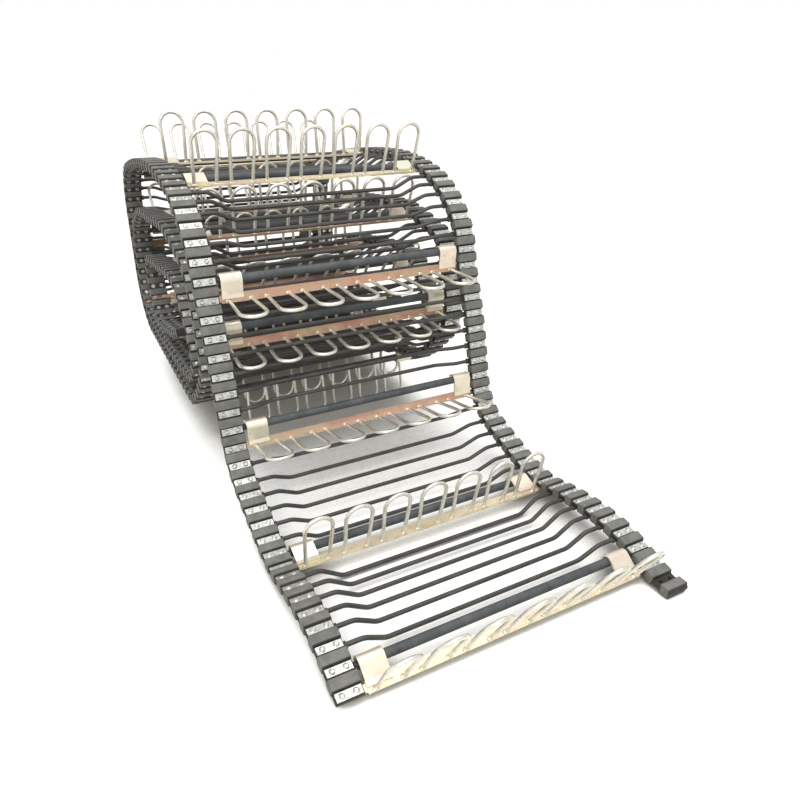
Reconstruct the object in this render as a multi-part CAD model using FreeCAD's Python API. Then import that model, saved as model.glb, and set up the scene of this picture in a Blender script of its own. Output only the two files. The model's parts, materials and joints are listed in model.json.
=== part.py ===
"""Elevator web of a root-crop harvester, rolled up, with its free run laid out on the floor.

Two cogged rubber belts carry steel cross rods. Every eighth station is a flight: a bar with wire
finger loops, hooked by two folded brackets to the sleeved rod at the next station.
X runs across the web, Y along the free run towards the roll, Z is up. Millimetres and degrees.
"""
import FreeCAD, Part
import math
import os

Vector = FreeCAD.Vector
Rotation = FreeCAD.Rotation
Placement = FreeCAD.Placement

# Driving dimensions: belts
PITCH = 40.0                 # along the belt, from one station to the next
BELT_WIDTH = 50.0
BELT_SPACING = 642.0         # between the middles of the two belts
CARCASS = 7.0                # thickness of the belt between cogs
COG_HEIGHT = 8.0             # on each face
KINK_ROOM = 3 / 14           # flat belt between rivet plate and cog, as a share of the carcass
COG_TAPER = 2.0              # slope of a cog's two ends
CUT_MARGIN = 2.0             # belt left past the rivet plate at a short end

# Driving dimensions: rods and their ends
ROD_DIAMETER = 9.0
ROD_DROP = 26.0              # crank of a plain rod towards the inner face
ROD_SHOULDER = 38.0          # straight length between belt and crank
ROD_SLOPE_RUN = 44.0         # length across the web in which the rod drops
ROD_BEND_RADIUS = 30.0
TONGUE_WIDTH = 13.0          # flattened end under the belt
TONGUE_THICKNESS = 5.0
TONGUE_MARGIN = 2.0          # from the tongue's tip to the belt's outer edge
TONGUE_REACH = 6.0           # tongue that shows past the belt's inner edge
TONGUE_OVERLAP = 4.0         # round rod inside the tongue

# Driving dimensions: rivets and plates
PLATE_LENGTH = 45.0
PLATE_WIDTH = 14.0
PLATE_THICKNESS = 3.0
RIVET_DIAMETER = 6.0
RIVET_SPACING = 24.0
RIVET_HEAD_DIAMETER = 11.0
RIVET_HEAD_HEIGHT = 2.5
RIVET_FLAT_DIAMETER = 6.0    # flat on top of a head

# Driving dimensions: flights
FLIGHT_STEP = 8              # stations from one flight to the next
BAR_WIDTH = 20.0
LOOP_COUNT = 7
LOOP_END_GAP = 10.5          # from the outermost leg to the end of the bar's full width
LOOP_WIDTH = 50.0            # between the middles of the legs
LOOP_HEIGHT = 126.0          # from the bar to the top of the wire
LOOP_WIRE = 8.0
LOOP_EDGE = 1.0              # from the wire to the bar's edge
LOOP_LEAN = 8.0              # from upright, towards the free end
BRACKET_WIDTH = 46.0
BRACKET_SHEET = 4.0
BRACKET_GAP = 7.0            # between bracket and belt
BRACKET_CLEARANCE = 0.5      # between bracket and loop wire
BRACKET_INSET = 1.0          # from the bar's edge to the bracket's first fold
HOOK_CLEARANCE = 2.0         # between hook and sleeve
HOOK_WRAP = 150.0            # how far the bracket curls round the sleeved rod
SLEEVE_DIAMETER = 18.0
SLEEVE_COUNT = 6
SLEEVE_MARGIN = 2.0          # from the outermost sleeve to the flattened rod end
SLEEVE_GAP = 0.6
SLEEVE_CLEARANCE = 0.2       # between sleeve bore and rod

# Lay of the web: from the free end, runs of (pitches, turn in degrees)
RUNS = (
    (1, 22.0), (3, -21.0), (3, -11.0), (1, -2.0), (1, 17.0), (2, 13.0), (3, 2.0), (2, 36.0), (1, 15.0),
    (1, 8.0), (6, -11.0), (1, 15.0), (3, -37.0), (4, -32.0), (5, -14.0), (11, -12.0), (6, -66.7),
    (5, 0.0), (6, -101.3), (15, 0.0), (2, -30.0), (2, -12.0), (2, 0.0), (2, -42.0), (2, -20.0),
    (2, -6.0), (2, -56.0), (2, 0.0), (2, -6.0), (2, -12.0), (8, 0.0), (2, -20.0), (2, 0.0), (2, -30.0),
    (2, -20.0), (2, -6.0), (2, -56.0), (2, -30.0), (2, -12.0), (2, 0.0), (2, -6.0), (8, 0.0),
    (2, -12.0), (2, -46.0), (2, -56.0), (2, -12.0), (2, -36.0), (2, -20.0), (8, 0.0), (4, -112.0),
    (4, -72.0), (4, 0.0), (1, -10.0),
)
END_HEADING = 13.45          # of the pitch just past the first bar; the belt end beyond it is level
ROLL_SECTION = 4             # stations in one rigid length of the rolled belt
MIN_KINK = 0.01              # turns below this count as straight

# Hinges of the free run
RUN_SECTIONS = 7             # rigid lengths in the free run
RUN_STATIONS = 2             # stations in each length
BARREL_CLEARANCE = 0.3
SOCKET_ANGLE = 55.0          # where the socket's arc ends, from the belt's line
NOTCH_ANGLE = 5.0            # slope of the cog faces beside a hinge

# Derived sizes
STATIONS = sum(pitches for pitches, turn in RUNS) + 1
FIRST_ROLLED = RUN_SECTIONS * RUN_STATIONS
HALF_SPACING = BELT_SPACING / 2
INNER_EDGE = HALF_SPACING - BELT_WIDTH / 2
OUTER_EDGE = HALF_SPACING + BELT_WIDTH / 2
SEAT = PLATE_WIDTH + 2 * KINK_ROOM * CARCASS
COG_FOOT = PITCH - SEAT
COG_TIP = COG_FOOT - 2 * COG_TAPER
HALF_CARCASS = CARCASS / 2
COG_TOP = HALF_CARCASS + COG_HEIGHT
ROD_LEVEL = -HALF_CARCASS - TONGUE_THICKNESS / 2
TONGUE_START = INNER_EDGE - TONGUE_REACH
TONGUE_END = OUTER_EDGE - TONGUE_MARGIN
BAR_TOP = -HALF_CARCASS
BRACKET_FOOT = BAR_WIDTH / 2 - BRACKET_INSET
HOOK_RADIUS = SLEEVE_DIAMETER / 2 + HOOK_CLEARANCE
BRACKET_OUTER = INNER_EDGE - BRACKET_GAP
BRACKET_INNER = BRACKET_OUTER - BRACKET_WIDTH
LOOP_REACH = TONGUE_START - LOOP_END_GAP - LOOP_WIRE / 2 - LOOP_WIDTH / 2
LOOP_PITCH = 2 * LOOP_REACH / (LOOP_COUNT - 1)
SPLICE_STATION = -1          # empty seat at the free end of the right belt
SIDES = (-1, 1)


def chord_headings():
    """Heading of each pitch, turning evenly along every run."""
    headings = []
    heading = 0.0
    for pitches, turn in RUNS:
        for step in range(pitches):
            headings.append(heading + turn * (step + 1) / pitches)
        heading += turn
    return headings


HEADINGS = chord_headings()


def chord_heading(k):
    """Heading of the pitch from station k to k + 1."""
    if k < SPLICE_STATION:
        return 0.0
    if k == SPLICE_STATION:
        return END_HEADING
    return HEADINGS[min(k, len(HEADINGS) - 1)]


def along(heading):
    """Unit vector along the belt."""
    angle = math.radians(heading)
    return Vector(0, math.cos(angle), math.sin(angle))


def outward(heading):
    """Unit vector out of the belt's outer face."""
    angle = math.radians(heading)
    return Vector(0, -math.sin(angle), math.cos(angle))


def lay_stations():
    """Points of the belt's middle line at each station, with two spare ones past both ends."""
    points = {0: Vector(0, 0, 0)}
    for k in range(STATIONS + 1):
        points[k + 1] = points[k] + along(chord_heading(k)) * PITCH
    for k in (0, -1):
        points[k - 1] = points[k] - along(chord_heading(k - 1)) * PITCH
    return points


POINTS = lay_stations()


def chord_place(k):
    """Frame in the middle of the cog between stations k and k + 1."""
    middle = (POINTS[k] + POINTS[k + 1]) * 0.5
    return Placement(middle, Rotation(Vector(1, 0, 0), chord_heading(k)))


def held_straight(k):
    """True where a flight's brackets, or a level splice, keep the seat in line with one neighbour."""
    return k == SPLICE_STATION or k % FLIGHT_STEP == 0


def station_heading(k):
    if k == SPLICE_STATION:
        return chord_heading(k - 1)
    if held_straight(k):
        return chord_heading(k)
    return (chord_heading(k - 1) + chord_heading(k)) / 2


def station_bend(k):
    """Half the turn that the belt makes evenly at a station, in radians."""
    if held_straight(k):
        return 0.0
    return math.radians(chord_heading(k) - chord_heading(k - 1)) / 2


def station_place(k):
    """Frame in the middle of the flat seat at station k: Y along the belt, Z outward."""
    heading = station_heading(k)
    lift = SEAT / 2 * math.sin(station_bend(k))
    return Placement(POINTS[k] + outward(heading) * lift, Rotation(Vector(1, 0, 0), heading))


def placed(shape, place):
    copy = shape.copy()
    copy.Placement = place.multiply(copy.Placement)
    return copy


def drilled(shape, centres, bottom, top):
    """Shape with upright rivet holes at the given (x, y) points."""
    drills = [Part.makeCylinder(RIVET_DIAMETER / 2, top - bottom, Vector(x, y, bottom)) for x, y in centres]
    return shape.cut(Part.Compound(drills))


def rivet_centres(side):
    middle = side * HALF_SPACING
    return [(middle - RIVET_SPACING / 2, 0), (middle + RIVET_SPACING / 2, 0)]


# Belt outline, worked out cog by cog in the cog's own frame

def cog_points(k, face, first, last):
    """Corners of one cog on the outer (face 1) or inner (face -1) side, from index first to last."""
    corners = (
        (-COG_FOOT / 2, HALF_CARCASS),
        (-COG_TIP / 2, COG_TOP),
        (COG_TIP / 2, COG_TOP),
        (COG_FOOT / 2, HALF_CARCASS),
    )
    place = chord_place(k)
    return [place.multVec(Vector(0, y, z * face)) for y, z in corners[first:last]]


def barrel_side(k, face):
    """Half cog that ends in the round barrel of a hinge."""
    place = chord_place(k)
    lean = COG_HEIGHT * math.tan(math.radians(NOTCH_ANGLE))
    notch = [Vector(0, -lean, COG_TOP * face), Vector(0, 0, HALF_CARCASS * face)]
    return cog_points(k, face, 0, 2) + [place.multVec(point) for point in notch]


def socket_corner():
    radius = HALF_CARCASS + BARREL_CLEARANCE
    angle = math.radians(SOCKET_ANGLE)
    return radius * math.cos(angle), radius * math.sin(angle)


def socket_side(k, face):
    """Half cog that starts with the hollow socket of a hinge."""
    place = chord_place(k)
    y, z = socket_corner()
    lean = (COG_TOP - z) * math.tan(math.radians(NOTCH_ANGLE))
    notch = [Vector(0, y, z * face), Vector(0, y + lean, COG_TOP * face)]
    return [place.multVec(point) for point in notch] + cog_points(k, face, 2, 4)


def flush_half(k, face, starts):
    """Half cog cut square through its middle."""
    middle = chord_place(k).multVec(Vector(0, 0, COG_TOP * face))
    if starts:
        return [middle] + cog_points(k, face, 2, 4)
    return cog_points(k, face, 0, 2) + [middle]


def seat_cut(k, face, direction):
    """Corner of a belt cut off just past the rivet plate of station k."""
    reach = direction * (PLATE_WIDTH / 2 + CUT_MARGIN)
    return [station_place(k).multVec(Vector(0, reach, HALF_CARCASS * math.cos(station_bend(k)) * face))]


def seat_points(k, face):
    """Corner of a held seat on the side where the belt kinks beside it."""
    turn = chord_heading(k) - chord_heading(k - 1)
    if not held_straight(k) or abs(turn) < MIN_KINK:
        return []
    direction = 1 if k == SPLICE_STATION else -1
    return [station_place(k).multVec(Vector(0, direction * SEAT / 2, HALF_CARCASS * face))]


def start_corners(k, face, kind):
    """Outline of a belt length up to its first station."""
    if kind == "cut":
        return seat_cut(k, face, -1)
    if kind == "splice":
        points = cog_points(k - 2, face, 0, 4) + seat_points(k - 1, face) + cog_points(k - 1, face, 0, 4)
    elif kind == "socket":
        points = socket_side(k - 1, face)
    else:
        points = flush_half(k - 1, face, True)
    return points + seat_points(k, face)


def end_corners(k, face, kind):
    """Outline of a belt length after its last station."""
    if kind == "cut":
        return seat_cut(k, face, 1)
    if kind == "splice":
        return cog_points(k, face, 0, 4) + cog_points(k + 1, face, 0, 4)
    if kind == "barrel":
        return barrel_side(k, face)
    return flush_half(k, face, False)


def cap(kind, k, first, last):
    """Edge that closes the outline at one end of a belt length."""
    radius = {"barrel": HALF_CARCASS, "socket": HALF_CARCASS + BARREL_CLEARANCE}.get(kind)
    if radius is None:
        return Part.LineSegment(first, last).toShape()
    middle = chord_place(k).multVec(Vector(0, radius, 0))
    return Part.Arc(first, middle, last).toShape()


def lines(points):
    return [Part.LineSegment(a, b).toShape() for a, b in zip(points, points[1:])]


def belt_length(side, first, last, start_kind, end_kind):
    """One rigid length of belt with the stations first to last, drilled for their rivets."""
    faces = []
    for face in (1, -1):
        points = start_corners(first, face, start_kind)
        for k in range(first, last):
            points += cog_points(k, face, 0, 4) + seat_points(k + 1, face)
        faces.append(points + end_corners(last, face, end_kind))
    outer, inner = faces
    edges = lines(outer) + [cap(end_kind, last, outer[-1], inner[-1])]
    edges += lines(inner[::-1]) + [cap(start_kind, first - 1, inner[0], outer[0])]
    outline = Part.Face(Part.Wire(edges))
    start = side * HALF_SPACING - BELT_WIDTH / 2
    outline.translate(Vector(start, 0, 0))
    solid = outline.extrude(Vector(BELT_WIDTH, 0, 0))
    drilled_stations = list(range(first, last + 1))
    if start_kind == "splice":
        drilled_stations.append(first - 1)
    if end_kind == "splice":
        drilled_stations.append(last + 1)
    drills = []
    for k in drilled_stations:
        for x, y in rivet_centres(side):
            drill = Part.makeCylinder(RIVET_DIAMETER / 2, 2 * CARCASS, Vector(x, y, -CARCASS))
            drills.append(placed(drill, station_place(k)))
    return solid.cut(Part.Compound(drills))


# Rods, bars and what is riveted to the belt

def tongue(side):
    """Flattened, drilled end under one belt."""
    start = min(side * TONGUE_START, side * TONGUE_END)
    corner = Vector(start, -TONGUE_WIDTH / 2, ROD_LEVEL - TONGUE_THICKNESS / 2)
    box = Part.makeBox(TONGUE_END - TONGUE_START, TONGUE_WIDTH, TONGUE_THICKNESS, corner)
    return drilled(box, rivet_centres(side), -COG_TOP, 0)


def rounded_route(points, radius):
    """Wire of straight runs joined by tangent arcs."""
    edges = []
    start = points[0]
    for before, corner, after in zip(points, points[1:], points[2:]):
        back = (before - corner).normalize()
        ahead = (after - corner).normalize()
        half = back.getAngle(ahead) / 2
        trim = radius / math.tan(half)
        inward = (back + ahead).normalize()
        middle = corner + inward * (radius / math.sin(half) - radius)
        edges.append(Part.LineSegment(start, corner + back * trim).toShape())
        edges.append(Part.Arc(corner + back * trim, middle, corner + ahead * trim).toShape())
        start = corner + ahead * trim
    edges.append(Part.LineSegment(start, points[-1]).toShape())
    return Part.Wire(edges)


def round_bar(points, diameter, radius):
    """Round bar bent along straight runs with tangent arcs."""
    route = rounded_route(points, radius)
    direction = points[1] - points[0]
    ring = Part.Wire(Part.makeCircle(diameter / 2, points[0], direction))
    return route.makePipeShell([ring], True, False)


def plain_rod():
    """Cranked cross rod with a flattened end under each belt."""
    end = TONGUE_START + TONGUE_OVERLAP
    crank = INNER_EDGE - ROD_SHOULDER
    floor = crank - ROD_SLOPE_RUN
    low = ROD_LEVEL - ROD_DROP
    half = [(-end, ROD_LEVEL), (-crank, ROD_LEVEL), (-floor, low)]
    points = [Vector(x, 0, z) for x, z in half] + [Vector(-x, 0, z) for x, z in half[::-1]]
    bar = round_bar(points, ROD_DIAMETER, ROD_BEND_RADIUS)
    return bar.fuse([tongue(side) for side in SIDES]).removeSplitter().Solids[0]


def sleeved_rod():
    """Straight cross rod that carries the rubber sleeves."""
    end = TONGUE_START + TONGUE_OVERLAP
    bar = Part.makeCylinder(ROD_DIAMETER / 2, 2 * end, Vector(-end, 0, ROD_LEVEL), Vector(1, 0, 0))
    return bar.fuse([tongue(side) for side in SIDES]).removeSplitter().Solids[0]


def sleeves():
    """Rubber sleeves, end to end between the flattened rod ends and through both hooks."""
    reach = TONGUE_START - SLEEVE_MARGIN
    room = 2 * reach / SLEEVE_COUNT
    bore = ROD_DIAMETER / 2 + SLEEVE_CLEARANCE
    pieces = []
    for i in range(SLEEVE_COUNT):
        start = Vector(-reach + i * room + SLEEVE_GAP / 2, 0, ROD_LEVEL)
        length = room - SLEEVE_GAP
        rubber = Part.makeCylinder(SLEEVE_DIAMETER / 2, length, start, Vector(1, 0, 0))
        pieces.append(rubber.cut(Part.makeCylinder(bore, length, start, Vector(1, 0, 0))))
    return pieces


def flight_bar():
    """Flat bar across the web, narrowed to a tongue under each belt."""
    corner = Vector(-TONGUE_START, -BAR_WIDTH / 2, BAR_TOP - TONGUE_THICKNESS)
    flat = Part.makeBox(2 * TONGUE_START, BAR_WIDTH, TONGUE_THICKNESS, corner)
    return flat.fuse([tongue(side) for side in SIDES]).removeSplitter().Solids[0]


def loop_line():
    """Place of the loops across the bar's width."""
    return -BAR_WIDTH / 2 + LOOP_EDGE + LOOP_WIRE / 2


def finger_loops():
    """Wire loops that stand on the bar, leaning, with their feet cut flush."""
    y = loop_line()
    bend = LOOP_WIDTH / 2
    spring = LOOP_HEIGHT - LOOP_WIRE / 2 - bend
    sunk = -LOOP_WIRE
    ring = Part.Wire(Part.makeCircle(LOOP_WIRE / 2, Vector(-bend, 0, sunk), Vector(0, 0, 1)))
    left = Part.LineSegment(Vector(-bend, 0, sunk), Vector(-bend, 0, spring)).toShape()
    crown = Part.Arc(Vector(-bend, 0, spring), Vector(0, 0, spring + bend), Vector(bend, 0, spring)).toShape()
    right = Part.LineSegment(Vector(bend, 0, spring), Vector(bend, 0, sunk)).toShape()
    loop = Part.Wire([left, crown, right]).makePipeShell([ring], True, False)
    loop.rotate(Vector(0, 0, 0), Vector(1, 0, 0), LOOP_LEAN)
    below = Part.makeBox(2 * LOOP_WIDTH, LOOP_HEIGHT, LOOP_WIDTH, Vector(-LOOP_WIDTH, -LOOP_HEIGHT / 2, -LOOP_WIDTH))
    loop = loop.cut(below).Solids[0]
    loops = []
    for i in range(LOOP_COUNT):
        foot = Vector(i * LOOP_PITCH - LOOP_REACH, y, BAR_TOP)
        loops.append(placed(loop, Placement(foot, Rotation())))
    return loops


def hook_brackets(k):
    """Folded brackets from the bar at station k round the sleeved rod at the next station."""
    rod = station_place(k + 1).multVec(Vector(0, 0, ROD_LEVEL))
    centre = station_place(k).inverse().multVec(rod)
    start = Vector(0, loop_line() + LOOP_WIRE / 2 + BRACKET_CLEARANCE, BAR_TOP)
    fold = Vector(0, BRACKET_FOOT, BAR_TOP)
    reach = centre - fold
    rise = math.atan2(reach.z, reach.y) + math.asin(HOOK_RADIUS / reach.Length)
    outer = HOOK_RADIUS + BRACKET_SHEET
    begin = rise + math.radians(90)
    stop = begin - math.radians(HOOK_WRAP)
    middle = (begin + stop) / 2

    def on_hook(radius, angle):
        return centre + Vector(0, radius * math.cos(angle), radius * math.sin(angle))

    start_top = start + Vector(0, 0, BRACKET_SHEET)
    fold_top = fold + Vector(0, -math.tan(rise / 2) * BRACKET_SHEET, BRACKET_SHEET)
    tip = on_hook(HOOK_RADIUS, stop)
    tip_top = on_hook(outer, stop)
    edges = lines([on_hook(HOOK_RADIUS, begin), fold, start, start_top, fold_top, on_hook(outer, begin)])
    edges.append(Part.Arc(on_hook(outer, begin), on_hook(outer, middle), tip_top).toShape())
    edges.append(Part.LineSegment(tip_top, tip).toShape())
    edges.append(Part.Arc(tip, on_hook(HOOK_RADIUS, middle), on_hook(HOOK_RADIUS, begin)).toShape())
    profile = Part.Face(Part.Wire(edges))
    brackets = []
    for start_x in (-BRACKET_OUTER, BRACKET_INNER):
        copy = profile.copy()
        copy.translate(Vector(start_x, 0, 0))
        brackets.append(copy.extrude(Vector(BRACKET_WIDTH, 0, 0)))
    return brackets


def rivet_plates(rise):
    """Plates on the outer face of both belts."""
    plates = []
    for side in SIDES:
        corner = Vector(side * HALF_SPACING - PLATE_LENGTH / 2, -PLATE_WIDTH / 2, rise)
        plate = Part.makeBox(PLATE_LENGTH, PLATE_WIDTH, PLATE_THICKNESS, corner)
        plates.append(drilled(plate, rivet_centres(side), 0, rise + 2 * PLATE_THICKNESS))
    return plates


def rivets(rise):
    """Four rivets of a station, each with a flat tail under the rod and a bevelled head."""
    bottom = -HALF_CARCASS - TONGUE_THICKNESS
    top = rise + PLATE_THICKNESS
    radius = RIVET_HEAD_DIAMETER / 2
    shank = Part.makeCylinder(RIVET_DIAMETER / 2, top - bottom, Vector(0, 0, bottom))
    tail = Part.makeCylinder(radius, RIVET_HEAD_HEIGHT, Vector(0, 0, bottom - RIVET_HEAD_HEIGHT))
    head = Part.makeCone(radius, RIVET_FLAT_DIAMETER / 2, RIVET_HEAD_HEIGHT, Vector(0, 0, top))
    body = shank.fuse([tail, head])
    pieces = []
    for side in SIDES:
        for x, y in rivet_centres(side):
            pieces.append(placed(body, Placement(Vector(x, y, 0), Rotation())))
    return pieces


# Assembly: every piece goes to the node of the length of web that it moves with

def length_name(k):
    """Name of the rigid length that holds station k; lengths count from the roll outwards."""
    if k >= FIRST_ROLLED:
        return "roll"
    return "run_%d" % (RUN_SECTIONS - k // RUN_STATIONS)


nodes = {}


def add(length, piece, shapes):
    nodes.setdefault(length + "_" + piece, []).extend(shapes)


def build_belts():
    last_station = STATIONS - 1
    for first in range(0, FIRST_ROLLED, RUN_STATIONS):
        for side in SIDES:
            free_end = "splice" if side > 0 else "cut"
            start_kind = free_end if first == 0 else "socket"
            belt = belt_length(side, first, first + RUN_STATIONS - 1, start_kind, "barrel")
            add(length_name(first), "belts", [belt])
    for first in range(FIRST_ROLLED, STATIONS, ROLL_SECTION):
        last = min(first + ROLL_SECTION - 1, last_station)
        for side, name in zip(SIDES, ("left_belt", "right_belt")):
            inner_end = "cut" if side > 0 else "splice"
            start_kind = "socket" if first == FIRST_ROLLED else "flush"
            end_kind = inner_end if last == last_station else "flush"
            add("roll", name, [belt_length(side, first, last, start_kind, end_kind)])


def build_stations():
    rod = plain_rod()
    straight = sleeved_rod()
    rubber = sleeves()
    bar = flight_bar()
    loops = finger_loops()
    for k in range(STATIONS):
        length = length_name(k)
        place = station_place(k)
        rise = HALF_CARCASS * math.cos(station_bend(k))
        add(length, "rivet_plates", [placed(shape, place) for shape in rivet_plates(rise)])
        add(length, "rivets", [placed(shape, place) for shape in rivets(rise)])
        turn = k % FLIGHT_STEP
        if turn == 0:
            add(length, "flight_bar", [placed(bar, place)])
            add(length, "finger_loops", [placed(shape, place) for shape in loops])
            if k + 1 < STATIONS:
                add(length, "hook_brackets", [placed(shape, place) for shape in hook_brackets(k)])
        elif turn == 1:
            add(length, "sleeved_rod", [placed(straight, place)])
            add(length, "rubber_sleeves", [placed(shape, place) for shape in rubber])
        else:
            add(length, "cross_rods", [placed(rod, place)])


def floor_origin():
    """Shift that puts the middle of the web's underside at the origin."""
    box = Part.Compound([shape for shapes in nodes.values() for shape in shapes]).optimalBoundingBox(False)
    return Vector(-(box.XMin + box.XMax) / 2, -(box.YMin + box.YMax) / 2, -box.ZMin)


build_belts()
build_stations()
ORIGIN = floor_origin()
os.makedirs("parts", exist_ok=True)
for name, shapes in sorted(nodes.items()):
    group = Part.Compound(shapes)
    group.translate(ORIGIN)
    group.exportStep("parts/" + name + ".step")
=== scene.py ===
import bmesh
import bpy
import json
import math
from mathutils import Matrix, Vector, noise
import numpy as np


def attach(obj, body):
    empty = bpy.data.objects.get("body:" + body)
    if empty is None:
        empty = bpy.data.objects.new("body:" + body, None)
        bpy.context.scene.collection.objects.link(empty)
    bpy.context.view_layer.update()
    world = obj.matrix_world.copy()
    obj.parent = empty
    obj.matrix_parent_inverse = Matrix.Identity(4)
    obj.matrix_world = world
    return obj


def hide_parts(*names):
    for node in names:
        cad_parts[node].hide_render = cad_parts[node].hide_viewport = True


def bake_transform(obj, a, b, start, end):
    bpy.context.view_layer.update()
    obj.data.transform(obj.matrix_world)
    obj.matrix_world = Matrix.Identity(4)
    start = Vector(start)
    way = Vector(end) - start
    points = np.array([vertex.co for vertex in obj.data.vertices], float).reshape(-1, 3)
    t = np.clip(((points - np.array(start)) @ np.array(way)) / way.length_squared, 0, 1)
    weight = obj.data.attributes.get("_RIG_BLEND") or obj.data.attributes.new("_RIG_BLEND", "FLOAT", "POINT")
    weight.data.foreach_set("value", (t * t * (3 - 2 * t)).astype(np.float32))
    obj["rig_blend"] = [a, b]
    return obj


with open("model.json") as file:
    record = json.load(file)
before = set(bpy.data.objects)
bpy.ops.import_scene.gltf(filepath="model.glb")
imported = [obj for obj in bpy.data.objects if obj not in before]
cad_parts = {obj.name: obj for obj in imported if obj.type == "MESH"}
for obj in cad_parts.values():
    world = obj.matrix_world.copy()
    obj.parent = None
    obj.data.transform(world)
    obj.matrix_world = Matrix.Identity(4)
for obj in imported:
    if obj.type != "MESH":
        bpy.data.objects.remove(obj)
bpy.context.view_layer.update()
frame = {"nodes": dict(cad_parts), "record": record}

# Sizes of the web, in metres, as in the part's source
PITCH = 0.040
BELT_WIDTH = 0.050
HALF_SPACING = 0.321
HALF_CARCASS = 0.0035
COG_TOP = 0.0115
SEAT = 0.017
COG_FOOT = 0.023
COG_TIP = 0.019
CUT = 0.009
RIVET_SPACING = 0.024
RIVET_RADIUS = 0.003
FLIGHT_STEP = 8              # stations from one flight to the next
BAR_TOP = -0.0035            # face of the flight bar that carries the loops
LOOP_LINE = -0.005           # line of the loops' feet along the belt
LOOP_COUNT = 7
LOOP_REACH = 0.2505
LOOP_HALF_WIDTH = 0.025
LOOP_LEAN = 8.0              # degrees from upright, towards the free end
LOOP_HEIGHT = 0.126          # from the bar to the top of the wire
LOOP_WIRE = 0.008

# Lay of the web: pitches in each run, and how many degrees the belt turns over them
RUNS = (
    (1, 22.0), (3, -21.0), (3, -11.0), (1, -2.0), (1, 17.0), (2, 13.0), (3, 2.0), (2, 36.0), (1, 15.0),
    (1, 8.0), (6, -11.0), (1, 15.0), (3, -37.0), (4, -32.0), (5, -14.0), (11, -12.0), (6, -66.7),
    (5, 0.0), (6, -101.3), (15, 0.0), (2, -30.0), (2, -12.0), (2, 0.0), (2, -42.0), (2, -20.0),
    (2, -6.0), (2, -56.0), (2, 0.0), (2, -6.0), (2, -12.0), (8, 0.0), (2, -20.0), (2, 0.0), (2, -30.0),
    (2, -20.0), (2, -6.0), (2, -56.0), (2, -30.0), (2, -12.0), (2, 0.0), (2, -6.0), (8, 0.0),
    (2, -12.0), (2, -46.0), (2, -56.0), (2, -12.0), (2, -36.0), (2, -20.0), (8, 0.0), (4, -112.0),
    (4, -72.0), (4, 0.0), (1, -10.0),
)
END_HEADING = 13.45          # of the pitch between the right belt's open seat and the first bar
SPLICE = -1                  # station of that open seat
RUN_SECTIONS = 7
RUN_STATIONS = 2
FIRST_ROLLED = RUN_SECTIONS * RUN_STATIONS
STATIONS = sum(pitches for pitches, turn in RUNS) + 1
SIDES = (-1, 1)

# Rounding of the rubber
FOOT_FLAT = 0.002            # flat belt that leads into a cog's foot
FOOT_RADIUS = 0.0015
TIP_RADIUS = 0.0028
ROUND_STEPS = 4
EDGE_STEPS = ((0.0, 0.0016), (0.0005, 0.0005), (0.0016, 0.0))    # in from the belt's side, down from its face
CREASE = 40.0                # sharper edges than this are not smoothed
HOLE_SEGMENTS = 24
DRILL_DEPTH = 6 * HALF_CARCASS

# Flare of the loops: the part's source has straight legs
LOOP_END_HALF_WIDTH = 0.028
LOOP_SUNK = 0.001            # depth of the feet in the bar
LOOP_LEG_STEPS = 10
LOOP_CROWN_STEPS = 18
LOOP_SEGMENTS = 12

# Weld beads at the feet of the loops
BEAD_RADII = (0.0068, 0.0047, 0.0034)
BEAD_SHIFT = -0.0004         # from the line of the feet
BEAD_RISE = 0.0006           # above the bar's face
BEAD_DIVISIONS = 3
BEAD_CREASE = 80.0
LUMP_HEIGHT = 0.16           # as a share of the bead's radius
LUMP_SCALE = 2.1
LUMP_OFFSETS = (3.7, 1.3)    # through the noise, for each step of a bead's number
LOOP_OFFSET = 2.3            # a bead's number grows by this from loop to loop

# Camera found from the photo, in millimetres and degrees before the web was moved to the origin
CAMERA_PLACE = Vector((-583.6, -664.8, 852.7))
CAMERA_AZIMUTH = 27.91
CAMERA_DROP = 26.0
CAMERA_FOCUS = 656.2         # in pixels of the photo
CAMERA_CLIP = (0.02, 100.0)  # in metres
IMAGE_SIZE = 800.0           # in pixels of the photo
SENSOR = 36.0
MM_PER_M = 1000

# Soft studio light: the sky is brighter overhead than at the horizon
HORIZON_LIGHT = 0.16
ZENITH_LIGHT = 1.0
ZENITH_HEIGHT = 0.9          # height in the sky from which it is as bright as at the zenith
LAMP_SIZE = 3.0
LAMPS = (
    ("key", (-1.5, -2.9, 2.6), (0, 0, 0.25), 80),
    ("top", (0.4, -0.4, 3.6), (0, 0, 0), 40),
)

# Floor: pale paper that glows white to the camera; the glow is dimmed where the object hides the sky, a
# painted shade under and around the object
FLOOR_HALF = 30.0
FLOOR_CELLS = 8
FLOOR_DROP = 0.0004
FLOOR_GRAIN = 6.0
FLOOR_COLOURS = ((0.50, 0.49, 0.45, 1), (0.57, 0.56, 0.52, 1))
SHADE_REACH = 1.0
SHADE_SAMPLES = 24
SHADE_OPEN = (0.37, 0.51)    # openness to the sky at which the glow starts and is full
FLOOR_GLOW = 0.66

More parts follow.
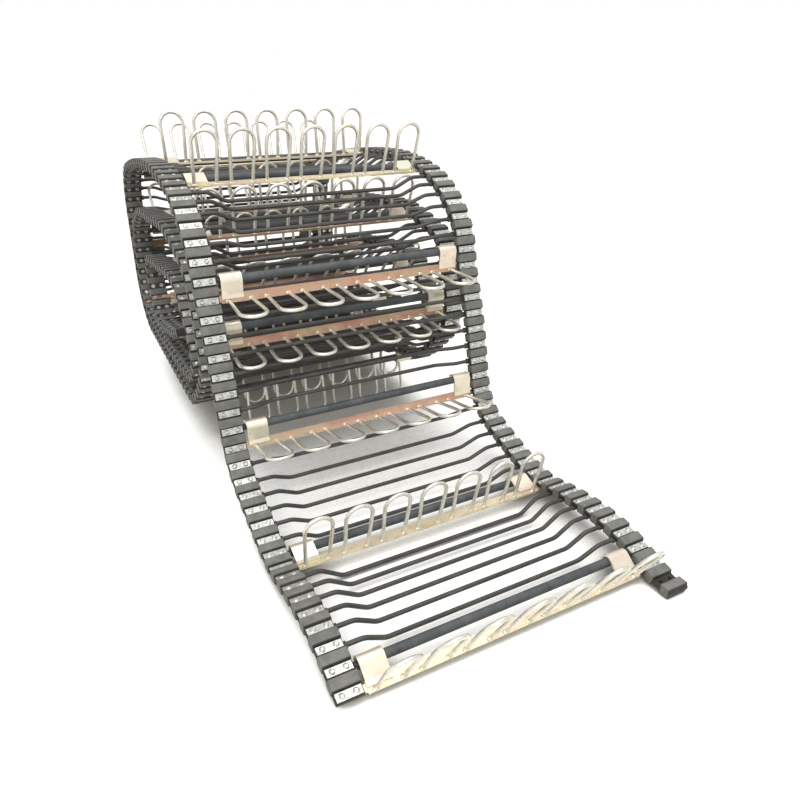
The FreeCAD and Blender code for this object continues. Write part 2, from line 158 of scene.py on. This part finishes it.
# Colour ramps: place along the ramp and colour
RUBBER_BODY = ((0.3, (0.020, 0.018, 0.016)), (0.7, (0.046, 0.042, 0.036)))
RUBBER_DUST = ((0.35, (0.145, 0.143, 0.130)), (0.7, (0.245, 0.241, 0.220)))
SLEEVE_SLATE = ((0.3, (0.044, 0.049, 0.052)), (0.72, (0.096, 0.104, 0.108)))
ROD_SCALE = ((0.28, (0.040, 0.038, 0.034)), (0.55, (0.068, 0.065, 0.059)), (0.8, (0.118, 0.112, 0.102)))
BAR_GOLD = ((0.3, (0.70, 0.57, 0.33)), (0.5, (0.80, 0.70, 0.49)), (0.7, (0.66, 0.51, 0.37)))
BAR_PINK = ((0.3, (0.48, 0.25, 0.20)), (0.52, (0.55, 0.35, 0.25)), (0.7, (0.44, 0.38, 0.24)))
BRACKET_CREAM = ((0.3, (0.77, 0.63, 0.53)), (0.5, (0.81, 0.73, 0.59)), (0.7, (0.74, 0.74, 0.57)))
WIRE_SILVER = ((0.3, (0.60, 0.58, 0.50)), (0.55, (0.76, 0.74, 0.67)), (0.75, (0.62, 0.55, 0.38)))
WELD_PALE = ((0.3, (0.52, 0.45, 0.33)), (0.55, (0.84, 0.80, 0.66)), (0.75, (0.92, 0.90, 0.82)))
PLATE_ZINC = ((0.32, (0.38, 0.39, 0.36)), (0.55, (0.60, 0.61, 0.57)), (0.72, (0.80, 0.81, 0.78)))
RIVET_ZINC = ((0.32, (0.40, 0.40, 0.38)), (0.55, (0.60, 0.60, 0.57)), (0.72, (0.78, 0.78, 0.76)))

# Stains, and edges made lighter, partly as wear and partly as painted highlight
BAR_STAIN = (0.30, 0.21, 0.12)
BAR_EDGE_WEAR_AND_HIGHLIGHT = (0.80, 0.75, 0.62)
BRACKET_STAIN = (0.32, 0.24, 0.15)
BRACKET_EDGE_WEAR_AND_HIGHLIGHT = (0.84, 0.81, 0.70)
WIRE_STAIN = (0.28, 0.24, 0.17)
ZINC_GRIME = (0.24, 0.23, 0.20)

# Heights between which the bars show the pink of the standing wall, with soft ends
PINK_FROM = (0.10, 0.16)
PINK_TO = (0.52, 0.62)

NOISE_MID = (0.3, 0.7)       # where most of a noise texture's values lie
EDGE_DOT = (0.97, 0.75)      # true normal against rounded normal: from flat face to edge
EDGE_SAMPLES = 6
MAP_SOCKETS = ("From Min", "From Max", "To Min", "To Max")


# Lay of the belt's middle line

def chord_headings():
    """Heading of each pitch, turning evenly along every run."""
    headings = []
    heading = 0.0
    for pitches, turn in RUNS:
        for step in range(pitches):
            headings.append(heading + turn * (step + 1) / pitches)
        heading += turn
    return headings


HEADINGS = chord_headings()


def chord_heading(k):
    if k < SPLICE:
        return 0.0
    if k == SPLICE:
        return END_HEADING
    return HEADINGS[min(k, len(HEADINGS) - 1)]


def along(heading):
    return Vector((0, math.cos(math.radians(heading)), math.sin(math.radians(heading))))


def outward(heading):
    return Vector((0, -math.sin(math.radians(heading)), math.cos(math.radians(heading))))


def lay_stations():
    """Middle of the belt at each station, before the shift to the shared frame."""
    points = {0: Vector((0, 0, 0))}
    for k in range(STATIONS + 1):
        points[k + 1] = points[k] + along(chord_heading(k)) * PITCH
    for k in (0, -1):
        points[k - 1] = points[k] - along(chord_heading(k - 1)) * PITCH
    return points


POINTS = lay_stations()


def find_origin():
    """Shift from the lay's own start to the shared frame, read off the outermost hinge."""
    joints = frame["record"]["behaviour"]["joints"]
    place = [joint["pos_m"] for joint in joints if joint["name"] == "bend_%d" % RUN_SECTIONS][0]
    shift = Vector(place) - (POINTS[1] + POINTS[2]) / 2
    shift.x = 0
    return shift


ORIGIN = find_origin()


def held_straight(k):
    """A bar or an open seat keeps the belt straight at its station."""
    return k == SPLICE or k % FLIGHT_STEP == 0


def station_heading(k):
    if k == SPLICE:
        return chord_heading(k - 1)
    if held_straight(k):
        return chord_heading(k)
    return (chord_heading(k - 1) + chord_heading(k)) / 2


def station_bend(k):
    if held_straight(k):
        return 0.0
    return math.radians(chord_heading(k) - chord_heading(k - 1)) / 2


def on_chord(k, s, n):
    """Point s along and n out from the middle of a pitch."""
    heading = chord_heading(k)
    return ORIGIN + (POINTS[k] + POINTS[k + 1]) / 2 + along(heading) * s + outward(heading) * n


def on_station(k, s, n):
    """Point s along and n out from a station's seat."""
    heading = station_heading(k)
    lift = SEAT / 2 * math.sin(station_bend(k))
    return ORIGIN + POINTS[k] + along(heading) * s + outward(heading) * (n + lift)


# Rubber belts with rounded cogs

def rounded(points, radii):
    """Corners of an open outline, each rounded to its own radius; the two ends stay."""
    result = [points[0]]
    for i in range(1, len(points) - 1):
        corner = Vector(points[i])
        back = (Vector(points[i - 1]) - corner).normalized()
        ahead = (Vector(points[i + 1]) - corner).normalized()
        half = back.angle(ahead) / 2
        trim = radii[i - 1] / math.tan(half)
        start = corner + back * trim
        end = corner + ahead * trim
        for step in range(ROUND_STEPS):
            t = step / (ROUND_STEPS - 1)
            a = start.lerp(corner, t)
            b = corner.lerp(end, t)
            result.append(tuple(a.lerp(b, t)))
    result.append(points[-1])
    return result


COG_OUTLINE = rounded(
    [(-COG_FOOT / 2 - FOOT_FLAT, HALF_CARCASS), (-COG_FOOT / 2, HALF_CARCASS), (-COG_TIP / 2, COG_TOP),
     (COG_TIP / 2, COG_TOP), (COG_FOOT / 2, HALF_CARCASS), (COG_FOOT / 2 + FOOT_FLAT, HALF_CARCASS)],
    [FOOT_RADIUS, TIP_RADIUS, TIP_RADIUS, FOOT_RADIUS],
)[1:-1]


def cog_pairs(k):
    """Points of one cog on the outer and the inner face, with how near each is to the cog's top."""
    pairs = []
    for s, n in COG_OUTLINE:
        crest = (n - HALF_CARCASS) / (COG_TOP - HALF_CARCASS)
        pairs.append((on_chord(k, s, n), on_chord(k, s, -n), crest))
    return pairs


def seat_pair(k, s):
    rise = HALF_CARCASS * math.cos(station_bend(k))
    return (on_station(k, s, rise), on_station(k, s, -rise), 0.0)


def belt_rail(first, last, start=None, end=None):
    """Outer and inner line of a belt from the seat of one station to the seat of another."""
    rail = []
    if start == "splice":
        rail += cog_pairs(first - 2) + [seat_pair(first - 1, 0)] + cog_pairs(first - 1)
    if start == "cut":
        rail.append(seat_pair(first, -CUT))
    rail.append(seat_pair(first, 0))
    for k in range(first, last):
        rail += cog_pairs(k) + [seat_pair(k + 1, 0)]
    if end == "splice":
        rail += cog_pairs(last) + [seat_pair(last + 1, 0)] + cog_pairs(last + 1)
    if end == "cut":
        rail.append(seat_pair(last, CUT))
    return rail


def add_belt(mesh, rail, side):
    """Solid belt along a rail, its long edges rounded off."""
    crest_layer = mesh.verts.layers.float["crest"]
    middle = side * HALF_SPACING
    columns = [(middle - BELT_WIDTH / 2 + inset, shrink) for inset, shrink in EDGE_STEPS]
    columns.append((middle, 0.0))
    columns += [(middle + BELT_WIDTH / 2 - inset, shrink) for inset, shrink in reversed(EDGE_STEPS)]
    rows = []
    for x, shrink in columns:
        outer_row = []
        inner_row = []
        for outer, inner, crest in rail:
            step = (inner - outer).normalized() * shrink
            for row, point in ((outer_row, outer + step), (inner_row, inner - step)):
                vert = mesh.verts.new((x, point.y, point.z))
                vert[crest_layer] = crest
                row.append(vert)
        rows.append((outer_row, inner_row))
    count = len(rail)
    for (outer_a, inner_a), (outer_b, inner_b) in zip(rows, rows[1:]):
        for j in range(count - 1):
            mesh.faces.new((outer_a[j], outer_b[j], outer_b[j + 1], outer_a[j + 1]))
            mesh.faces.new((inner_a[j], inner_a[j + 1], inner_b[j + 1], inner_b[j]))
        for j, turn in ((0, 1), (count - 1, -1)):
            corners = (outer_a[j], inner_a[j], inner_b[j], outer_b[j])
            mesh.faces.new(corners[::turn])
    for (outer, inner), turn in ((rows[0], 1), (rows[-1], -1)):
        for j in range(count - 1):
            mesh.faces.new((outer[j], outer[j + 1], inner[j + 1], inner[j])[::turn])


def new_mesh():
    mesh = bmesh.new()
    mesh.verts.layers.float.new("crest")
    return mesh


def finish_mesh(mesh, name, crease=CREASE):
    """Object from a bmesh, smooth except at edges sharper than the crease angle."""
    bmesh.ops.recalc_face_normals(mesh, faces=mesh.faces)
    for face in mesh.faces:
        face.smooth = True
    for edge in mesh.edges:
        if len(edge.link_faces) == 2 and edge.calc_face_angle() > math.radians(crease):
            edge.smooth = False
    data = bpy.data.meshes.new(name)
    mesh.to_mesh(data)
    mesh.free()
    obj = bpy.data.objects.new(name, data)
    bpy.context.collection.objects.link(obj)
    return obj


def drill(obj, side, k):
    """Two open rivet holes through an empty seat."""
    cutter_mesh = bmesh.new()
    heading = math.radians(station_heading(k))
    for offset in (-RIVET_SPACING / 2, RIVET_SPACING / 2):
        place = on_station(k, 0, 0)
        place.x = side * HALF_SPACING + offset
        turn = Matrix.Translation(place) @ Matrix.Rotation(heading, 4, "X")
        bmesh.ops.create_cone(cutter_mesh, cap_ends=True, segments=HOLE_SEGMENTS, radius1=RIVET_RADIUS,
                              radius2=RIVET_RADIUS, depth=DRILL_DEPTH, matrix=turn)
    data = bpy.data.meshes.new("cutter")
    cutter_mesh.to_mesh(data)
    cutter_mesh.free()
    cutter = bpy.data.objects.new("cutter", data)
    bpy.context.collection.objects.link(cutter)
    cut = obj.modifiers.new("holes", "BOOLEAN")
    cut.object = cutter
    cut.operation = "DIFFERENCE"
    cut.solver = "EXACT"
    graph = bpy.context.evaluated_depsgraph_get()
    result = bpy.data.meshes.new_from_object(obj.evaluated_get(graph))
    obj.modifiers.clear()
    obj.data = result
    bpy.data.objects.remove(cutter)


def body_of(k):
    if k >= FIRST_ROLLED:
        return "roll"
    return "run_%d" % (RUN_SECTIONS - k // RUN_STATIONS)


def build_belts(rubber):
    for first in range(0, FIRST_ROLLED, RUN_STATIONS):
        last = first + RUN_STATIONS - 1
        body = body_of(first)
        mesh = new_mesh()
        for side in SIDES:
            free_end = "splice" if side > 0 else "cut"
            add_belt(mesh, belt_rail(first, last, free_end if first == 0 else None), side)
        obj = finish_mesh(mesh, "rubber_belts_" + body)
        if first == 0:
            drill(obj, 1, SPLICE)
        obj.data.materials.append(rubber)
        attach(obj, body)
        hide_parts(body + "_belts")
        mesh = new_mesh()
        for side in SIDES:
            add_belt(mesh, belt_rail(last, last + 1), side)
        obj = finish_mesh(mesh, "rubber_bend_" + body)
        obj.data.materials.append(rubber)
        start = on_chord(last, -COG_FOOT / 2, 0)
        end = on_chord(last, COG_FOOT / 2, 0)
        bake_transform(obj, body, body_of(last + 1), start, end)
    for side, name in zip(SIDES, ("left", "right")):
        mesh = new_mesh()
        add_belt(mesh, belt_rail(FIRST_ROLLED, STATIONS - 1, None, "cut" if side > 0 else "splice"), side)
        obj = finish_mesh(mesh, "rubber_belt_roll_" + name)
        if side < 0:
            drill(obj, side, STATIONS)
        obj.data.materials.append(rubber)
        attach(obj, "roll")
        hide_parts("roll_%s_belt" % name)


# Wire loops, a little wider at their round end than at their feet

def loop_path():
    """Middle of the wire as (across, up) points, from one foot over the crown to the other."""
    spring = LOOP_HEIGHT - LOOP_WIRE / 2 - LOOP_END_HALF_WIDTH
    leg = []
    for i in range(LOOP_LEG_STEPS):
        share = i / LOOP_LEG_STEPS
        flare = share * share * (3 - 2 * share)
        across = LOOP_HALF_WIDTH + (LOOP_END_HALF_WIDTH - LOOP_HALF_WIDTH) * flare
        leg.append((across, -LOOP_SUNK + (spring + LOOP_SUNK) * share))
    crown = []
    for i in range(LOOP_CROWN_STEPS + 1):
        angle = math.pi * i / LOOP_CROWN_STEPS
        crown.append((LOOP_END_HALF_WIDTH * math.cos(angle), spring + LOOP_END_HALF_WIDTH * math.sin(angle)))
    return leg + crown + [(-across, up) for across, up in reversed(leg)]


def add_loop(mesh, path, place, turn):
    """Closed round wire along the path, stood on its place."""
    rings = []
    for i, (across, up) in enumerate(path):
        before = path[max(i - 1, 0)]
        after = path[min(i + 1, len(path) - 1)]
        ahead = Vector((after[0] - before[0], 0, after[1] - before[1])).normalized()
        beside = Vector((ahead.z, 0, -ahead.x))
        ring = []
        for j in range(LOOP_SEGMENTS):
            angle = 2 * math.pi * j / LOOP_SEGMENTS
            round_wire = beside * math.cos(angle) + Vector((0, 1, 0)) * math.sin(angle)
            local = Vector((across, 0, up)) + round_wire * LOOP_WIRE / 2
            ring.append(mesh.verts.new(place + turn @ local))
        rings.append(ring)
    for ring, following in zip(rings, rings[1:]):
        for j in range(LOOP_SEGMENTS):
            j_next = (j + 1) % LOOP_SEGMENTS
            mesh.faces.new((ring[j], ring[j_next], following[j_next], following[j]))
    mesh.faces.new(rings[0])
    mesh.faces.new(rings[-1])


def flights_by_body():
    groups = {}
    for k in range(0, STATIONS, FLIGHT_STEP):
        groups.setdefault(body_of(k), []).append(k)
    return groups


def loop_middle(i):
    return -LOOP_REACH + i * 2 * LOOP_REACH / (LOOP_COUNT - 1)


def build_loops(wire):
    path = loop_path()
    for body, flights in flights_by_body().items():
        mesh = new_mesh()
        for k in flights:
            turn = Matrix.Rotation(math.radians(station_heading(k) + LOOP_LEAN), 3, "X")
            for i in range(LOOP_COUNT):
                place = on_station(k, LOOP_LINE, BAR_TOP)
                place.x = loop_middle(i)
                add_loop(mesh, path, place, turn)
        obj = finish_mesh(mesh, "wire_loops_" + body)
        obj.data.materials.append(wire)
        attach(obj, body)
        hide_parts(body + "_finger_loops")


# Weld beads where the loops meet their bars

def add_bead(mesh, place, turn, seed):
    """Lumpy collar of weld metal."""
    made = bmesh.ops.create_icosphere(mesh, subdivisions=BEAD_DIVISIONS, radius=1.0)
    offset = Vector((seed * LUMP_OFFSETS[0], seed * LUMP_OFFSETS[1], 0))
    for vert in made["verts"]:
        lump = 1 + LUMP_HEIGHT * noise.noise(vert.co * LUMP_SCALE + offset)
        local = Vector([share * radius * lump for share, radius in zip(vert.co, BEAD_RADII)])
        vert.co = place + turn @ local


def build_beads(weld):
    for body, flights in flights_by_body().items():
        mesh = new_mesh()
        for k in flights:
            turn = Matrix.Rotation(math.radians(station_heading(k)), 3, "X")
            for i in range(LOOP_COUNT):
                for leg in SIDES:
                    place = on_station(k, LOOP_LINE + BEAD_SHIFT, BAR_TOP + BEAD_RISE)
                    place.x = loop_middle(i) + leg * LOOP_HALF_WIDTH
                    add_bead(mesh, place, turn, k + i * LOOP_OFFSET + leg)
        obj = finish_mesh(mesh, "weld_beads_" + body, BEAD_CREASE)
        obj.data.materials.append(weld)
        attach(obj, body)


# Materials

class Paint:
    """Small helper that wires one procedural material."""

    def __init__(self, name):
        self.material = bpy.data.materials.new(name)
        self.material.use_nodes = True
        self.tree = self.material.node_tree
        self.shader = self.tree.nodes["Principled BSDF"]
        coords = self.tree.nodes.new("ShaderNodeTexCoord")
        self.place = coords.outputs["Object"]

    def node(self, kind, **values):
        made = self.tree.nodes.new(kind)
        for key, value in values.items():
            setattr(made, key, value)
        return made

    def link(self, start, end):
        self.tree.links.new(start, end)

    def noise(self, scale, detail=4.0, rough=0.55, stretch=None):
        made = self.node("ShaderNodeTexNoise")
        made.inputs["Scale"].default_value = scale
        made.inputs["Detail"].default_value = detail
        made.inputs["Roughness"].default_value = rough
        source = self.place
        if stretch:
            mapping = self.node("ShaderNodeMapping")
            mapping.inputs["Scale"].default_value = stretch
            self.link(self.place, mapping.inputs["Vector"])
            source = mapping.outputs["Vector"]
        self.link(source, made.inputs["Vector"])
        return made.outputs["Fac"]

    def ramp(self, value, stops):
        made = self.node("ShaderNodeValToRGB")
        elements = made.color_ramp.elements
        while len(elements) < len(stops):
            elements.new(0.5)
        for element, (position, colour) in zip(elements, stops):
            element.position = position
            element.color = (*colour, 1.0)
        self.link(value, made.inputs["Fac"])
        return made.outputs["Color"]

    def spread(self, value, found, wanted):
        """Maps one range of a value onto another."""
        made = self.node("ShaderNodeMapRange")
        for socket, number in zip(MAP_SOCKETS, found + wanted):
            made.inputs[socket].default_value = number
        self.link(value, made.inputs["Value"])
        return made.outputs["Result"]

    def mix(self, factor, first, second):
        made = self.node("ShaderNodeMix", data_type="RGBA")
        self.link(factor, made.inputs["Factor"])
        for value, socket in ((first, made.inputs["A"]), (second, made.inputs["B"])):
            self.feed(value, socket)
        return made.outputs["Result"]

    def feed(self, value, socket):
        if isinstance(value, tuple):
            socket.default_value = (*value, 1.0)
        else:
            self.link(value, socket)

    def math(self, operation, first, second):
        made = self.node("ShaderNodeMath", operation=operation)
        for value, socket in ((first, made.inputs[0]), (second, made.inputs[1])):
            if isinstance(value, float):
                socket.default_value = value
            else:
                self.link(value, socket)
        return made.outputs["Value"]

    def edges(self, radius):
        """Mask that is bright along edges."""
        bevel = self.node("ShaderNodeBevel", samples=EDGE_SAMPLES)
        bevel.inputs["Radius"].default_value = radius
        geometry = self.node("ShaderNodeNewGeometry")
        dot = self.node("ShaderNodeVectorMath", operation="DOT_PRODUCT")
        self.link(bevel.outputs["Normal"], dot.inputs[0])
        self.link(geometry.outputs["Normal"], dot.inputs[1])
        return self.spread(dot.outputs["Value"], EDGE_DOT, (0.0, 1.0))

    def bump(self, height, distance, strength=0.5):
        made = self.node("ShaderNodeBump")
        made.inputs["Strength"].default_value = strength
        made.inputs["Distance"].default_value = distance
        self.link(height, made.inputs["Height"])
        self.link(made.outputs["Normal"], self.shader.inputs["Normal"])

    def done(self, colour, roughness, metallic=0.0, specular=0.5):
        self.feed(colour, self.shader.inputs["Base Color"])
        self.link(roughness, self.shader.inputs["Roughness"])
        self.shader.inputs["Metallic"].default_value = metallic
        self.shader.inputs["Specular IOR Level"].default_value = specular
        return self.material


def belt_rubber():
    """Dark rubber, dusty grey on the tops of the cogs."""
    paint = Paint("belt_rubber")
    crest = paint.node("ShaderNodeAttribute", attribute_name="crest").outputs["Fac"]
    broad = paint.noise(scale=38.0, detail=5.0, rough=0.6)
    fine = paint.noise(scale=620.0, detail=3.0, rough=0.6)
    on_top = paint.spread(crest, (0.75, 1.0), (0.0, 1.0))
    dusty = paint.math("MULTIPLY", on_top, paint.spread(broad, (0.2, 0.6), (0.45, 1.0)))
    colour = paint.mix(dusty, paint.ramp(broad, RUBBER_BODY), paint.ramp(fine, RUBBER_DUST))
    paint.bump(fine, distance=0.0004, strength=0.4)
    return paint.done(colour, paint.spread(fine, NOISE_MID, (0.52, 0.78)), metallic=0.0, specular=0.35)


def sleeve_rubber():
    paint = Paint("sleeve_rubber")
    fine = paint.noise(scale=500.0, detail=3.0)
    colour = paint.ramp(paint.noise(scale=30.0, detail=4.0), SLEEVE_SLATE)
    paint.bump(fine, distance=0.0003, strength=0.35)
    return paint.done(colour, paint.spread(fine, NOISE_MID, (0.42, 0.66)), metallic=0.0, specular=0.45)


def rod_steel():
    """Dark rolled steel with scale drawn out along the rods."""
    paint = Paint("rod_steel")
    scale = paint.noise(scale=55.0, detail=6.0, rough=0.65, stretch=(0.35, 1.0, 1.0))
    paint.bump(paint.noise(scale=700.0, detail=3.0), distance=0.00025, strength=0.35)
    rough = paint.spread(scale, NOISE_MID, (0.36, 0.58))
    return paint.done(paint.ramp(scale, ROD_SCALE), rough, metallic=0.35, specular=0.5)


def bar_steel():
    """Yellow-passivated flat bar: gold where it lies, pinker on the standing wall."""
    paint = Paint("bar_steel")
    drift = paint.noise(scale=7.0, detail=3.0, rough=0.5, stretch=(1.0, 2.5, 2.5))
    cloud = paint.noise(scale=60.0, detail=5.0, rough=0.6)
    parts = paint.node("ShaderNodeSeparateXYZ")
    paint.link(paint.place, parts.inputs["Vector"])
    height = parts.outputs["Z"]
    upright = paint.math("MULTIPLY", paint.spread(height, PINK_FROM, (0.0, 1.0)),
                         paint.spread(height, PINK_TO, (1.0, 0.0)))
    tint = paint.mix(upright, paint.ramp(drift, BAR_GOLD), paint.ramp(drift, BAR_PINK))
    stained = paint.mix(paint.spread(cloud, (0.52, 0.78), (0.0, 0.55)), tint, BAR_STAIN)
    # lighter edges: partly wear, partly a painted highlight along the rounded edges
    colour = paint.mix(paint.edges(radius=0.0012), stained, BAR_EDGE_WEAR_AND_HIGHLIGHT)
    paint.bump(paint.noise(scale=420.0, detail=3.0), distance=0.0002, strength=0.3)
    return paint.done(colour, paint.spread(cloud, NOISE_MID, (0.26, 0.46)), metallic=0.8, specular=0.5)


def bracket_sheet():
    paint = Paint("bracket_sheet")
    cloud = paint.noise(scale=75.0, detail=5.0, rough=0.6)
    colour = paint.ramp(paint.noise(scale=14.0, detail=3.0), BRACKET_CREAM)
    colour = paint.mix(paint.spread(cloud, (0.55, 0.8), (0.0, 0.45)), colour, BRACKET_STAIN)
    # lighter edges: partly wear, partly a painted highlight along the rounded edges
    colour = paint.mix(paint.edges(radius=0.001), colour, BRACKET_EDGE_WEAR_AND_HIGHLIGHT)
    paint.bump(paint.noise(scale=420.0, detail=3.0), distance=0.0002, strength=0.3)
    return paint.done(colour, paint.spread(cloud, NOISE_MID, (0.28, 0.46)), metallic=0.7, specular=0.5)


def loop_wire():
    paint = Paint("loop_wire")
    cloud = paint.noise(scale=160.0, detail=4.0)
    colour = paint.ramp(paint.noise(scale=24.0, detail=4.0), WIRE_SILVER)
    colour = paint.mix(paint.spread(cloud, (0.58, 0.8), (0.0, 0.45)), colour, WIRE_STAIN)
    paint.bump(paint.noise(scale=500.0, detail=3.0), distance=0.0002, strength=0.25)
    return paint.done(colour, paint.spread(cloud, NOISE_MID, (0.24, 0.44)), metallic=0.8, specular=0.5)


def weld_metal():
    paint = Paint("weld_metal")
    cloud = paint.noise(scale=260.0, detail=4.0)
    paint.bump(paint.noise(scale=650.0, detail=3.0), distance=0.0005, strength=0.5)
    rough = paint.spread(cloud, NOISE_MID, (0.32, 0.55))
    return paint.done(paint.ramp(cloud, WELD_PALE), rough, metallic=0.75, specular=0.5)


def zinc(name, stops):
    """Mottled zinc with grime in patches, and edges made lighter, partly as wear and partly as painted
    highlight.
    """
    paint = Paint(name)
    fine = paint.noise(scale=600.0, detail=3.0)
    colour = paint.ramp(paint.noise(scale=150.0, detail=5.0, rough=0.65), stops)
    grime = paint.noise(scale=45.0, detail=4.0, rough=0.6)
    colour = paint.mix(paint.spread(grime, (0.52, 0.78), (0.0, 0.5)), colour, ZINC_GRIME)
    brightest = stops[-1][1]
    # lighter edges: partly wear, partly a painted highlight along the rounded edges
    colour = paint.mix(paint.edges(radius=0.0008), colour, brightest)
    paint.bump(fine, distance=0.0002, strength=0.3)
    return paint.done(colour, paint.spread(fine, NOISE_MID, (0.3, 0.5)), metallic=0.75, specular=0.5)


def dress_nodes():
    """Procedural finish for every CAD node that stays in view."""
    steel = rod_steel()
    finishes = {
        "cross_rods": steel,
        "sleeved_rod": steel,
        "rubber_sleeves": sleeve_rubber(),
        "flight_bar": bar_steel(),
        "hook_brackets": bracket_sheet(),
        "rivet_plates": zinc("plate_zinc", PLATE_ZINC),
        "rivets": zinc("rivet_zinc", RIVET_ZINC),
    }
    for name, obj in frame["nodes"].items():
        for ending, finish in finishes.items():
            if name.endswith(ending):
                for material_slot in obj.material_slots:
                    material_slot.material = finish


# Stage, light and camera

def background_rays(tree):
    """1 for the rays in which the white background shows: seen, mirrored or through glass."""
    path = tree.nodes.new("ShaderNodeLightPath")
    found = path.outputs["Is Camera Ray"]
    for kind in ("Is Glossy Ray", "Is Transmission Ray"):
        either = tree.nodes.new("ShaderNodeMath")
        either.operation = "MAXIMUM"
        tree.links.new(found, either.inputs[0])
        tree.links.new(path.outputs[kind], either.inputs[1])
        found = either.outputs["Value"]
    return found


def build_floor():
    mesh = bmesh.new()
    bmesh.ops.create_grid(mesh, x_segments=FLOOR_CELLS, y_segments=FLOOR_CELLS, size=FLOOR_HALF)
    floor = finish_mesh(mesh, "floor")
    floor.location.z = -FLOOR_DROP
    material = bpy.data.materials.new("floor_paper")
    material.use_nodes = True
    tree = material.node_tree
    tree.nodes.remove(tree.nodes["Principled BSDF"])
    out = tree.nodes["Material Output"]
    diffuse = tree.nodes.new("ShaderNodeBsdfDiffuse")
    grain = tree.nodes.new("ShaderNodeTexNoise")
    grain.inputs["Scale"].default_value = FLOOR_GRAIN
    ramp = tree.nodes.new("ShaderNodeValToRGB")
    for element, colour in zip(ramp.color_ramp.elements, FLOOR_COLOURS):
        element.color = colour
    tree.links.new(grain.outputs["Fac"], ramp.inputs["Fac"])
    tree.links.new(ramp.outputs["Color"], diffuse.inputs["Color"])
    glow = tree.nodes.new("ShaderNodeEmission")
    seen = tree.nodes.new("ShaderNodeMath")
    seen.operation = "MULTIPLY"
    # painted shade: ambient occlusion dims the floor's glow under and around the object
    painted_shade_occlusion = tree.nodes.new("ShaderNodeAmbientOcclusion")
    painted_shade_occlusion.inputs["Distance"].default_value = SHADE_REACH
    painted_shade_occlusion.samples = SHADE_SAMPLES
    level = tree.nodes.new("ShaderNodeMapRange")
    for socket, number in zip(MAP_SOCKETS, SHADE_OPEN + (0.0, FLOOR_GLOW)):
        level.inputs[socket].default_value = number
    tree.links.new(painted_shade_occlusion.outputs["AO"], level.inputs["Value"])
    tree.links.new(background_rays(tree), seen.inputs[0])
    tree.links.new(level.outputs["Result"], seen.inputs[1])
    tree.links.new(seen.outputs["Value"], glow.inputs["Strength"])
    add = tree.nodes.new("ShaderNodeAddShader")
    tree.links.new(diffuse.outputs["BSDF"], add.inputs[0])
    tree.links.new(glow.outputs["Emission"], add.inputs[1])
    tree.links.new(add.outputs["Shader"], out.inputs["Surface"])
    floor.data.materials.append(material)


def build_world():
    world = bpy.data.worlds.new("studio")
    bpy.context.scene.world = world
    world.use_nodes = True
    tree = world.node_tree
    light = tree.nodes["Background"]
    light.inputs["Color"].default_value = (1.0, 1.0, 1.0, 1.0)
    coords = tree.nodes.new("ShaderNodeTexCoord")
    parts = tree.nodes.new("ShaderNodeSeparateXYZ")
    height = tree.nodes.new("ShaderNodeMapRange")
    for socket, number in zip(MAP_SOCKETS, (0.0, ZENITH_HEIGHT, HORIZON_LIGHT, ZENITH_LIGHT)):
        height.inputs[socket].default_value = number
    tree.links.new(coords.outputs["Generated"], parts.inputs["Vector"])
    tree.links.new(parts.outputs["Z"], height.inputs["Value"])
    tree.links.new(height.outputs["Result"], light.inputs["Strength"])
    seen = tree.nodes.new("ShaderNodeBackground")
    seen.inputs["Color"].default_value = (1.0, 1.0, 1.0, 1.0)
    seen.inputs["Strength"].default_value = 1.0
    mixer = tree.nodes.new("ShaderNodeMixShader")
    tree.links.new(background_rays(tree), mixer.inputs["Fac"])
    tree.links.new(light.outputs["Background"], mixer.inputs[1])
    tree.links.new(seen.outputs["Background"], mixer.inputs[2])
    tree.links.new(mixer.outputs["Shader"], tree.nodes["World Output"].inputs["Surface"])


def area_light(name, place, target, power):
    data = bpy.data.lights.new(name, "AREA")
    data.shape = "DISK"
    data.size = LAMP_SIZE
    data.energy = power
    lamp = bpy.data.objects.new(name, data)
    lamp.location = place
    lamp.rotation_euler = (Vector(target) - Vector(place)).to_track_quat("-Z", "Y").to_euler()
    bpy.context.collection.objects.link(lamp)


def build_camera():
    data = bpy.data.cameras.new("photo_view")
    data.sensor_width = SENSOR
    data.lens = CAMERA_FOCUS / IMAGE_SIZE * SENSOR
    data.clip_start, data.clip_end = CAMERA_CLIP
    camera = bpy.data.objects.new("photo_view", data)
    azimuth = math.radians(CAMERA_AZIMUTH)
    drop = math.radians(CAMERA_DROP)
    level = math.cos(drop)
    ahead = Vector((math.sin(azimuth) * level, math.cos(azimuth) * level, -math.sin(drop)))
    camera.location = CAMERA_PLACE / MM_PER_M + ORIGIN
    camera.rotation_euler = ahead.to_track_quat("-Z", "Y").to_euler()
    bpy.context.collection.objects.link(camera)
    bpy.context.scene.camera = camera


build_belts(belt_rubber())
build_loops(loop_wire())
build_beads(weld_metal())
dress_nodes()
build_floor()
build_world()
for name, place, target, power in LAMPS:
    area_light(name, place, target, power)
build_camera()
bpy.context.scene.view_settings.view_transform = "Standard"
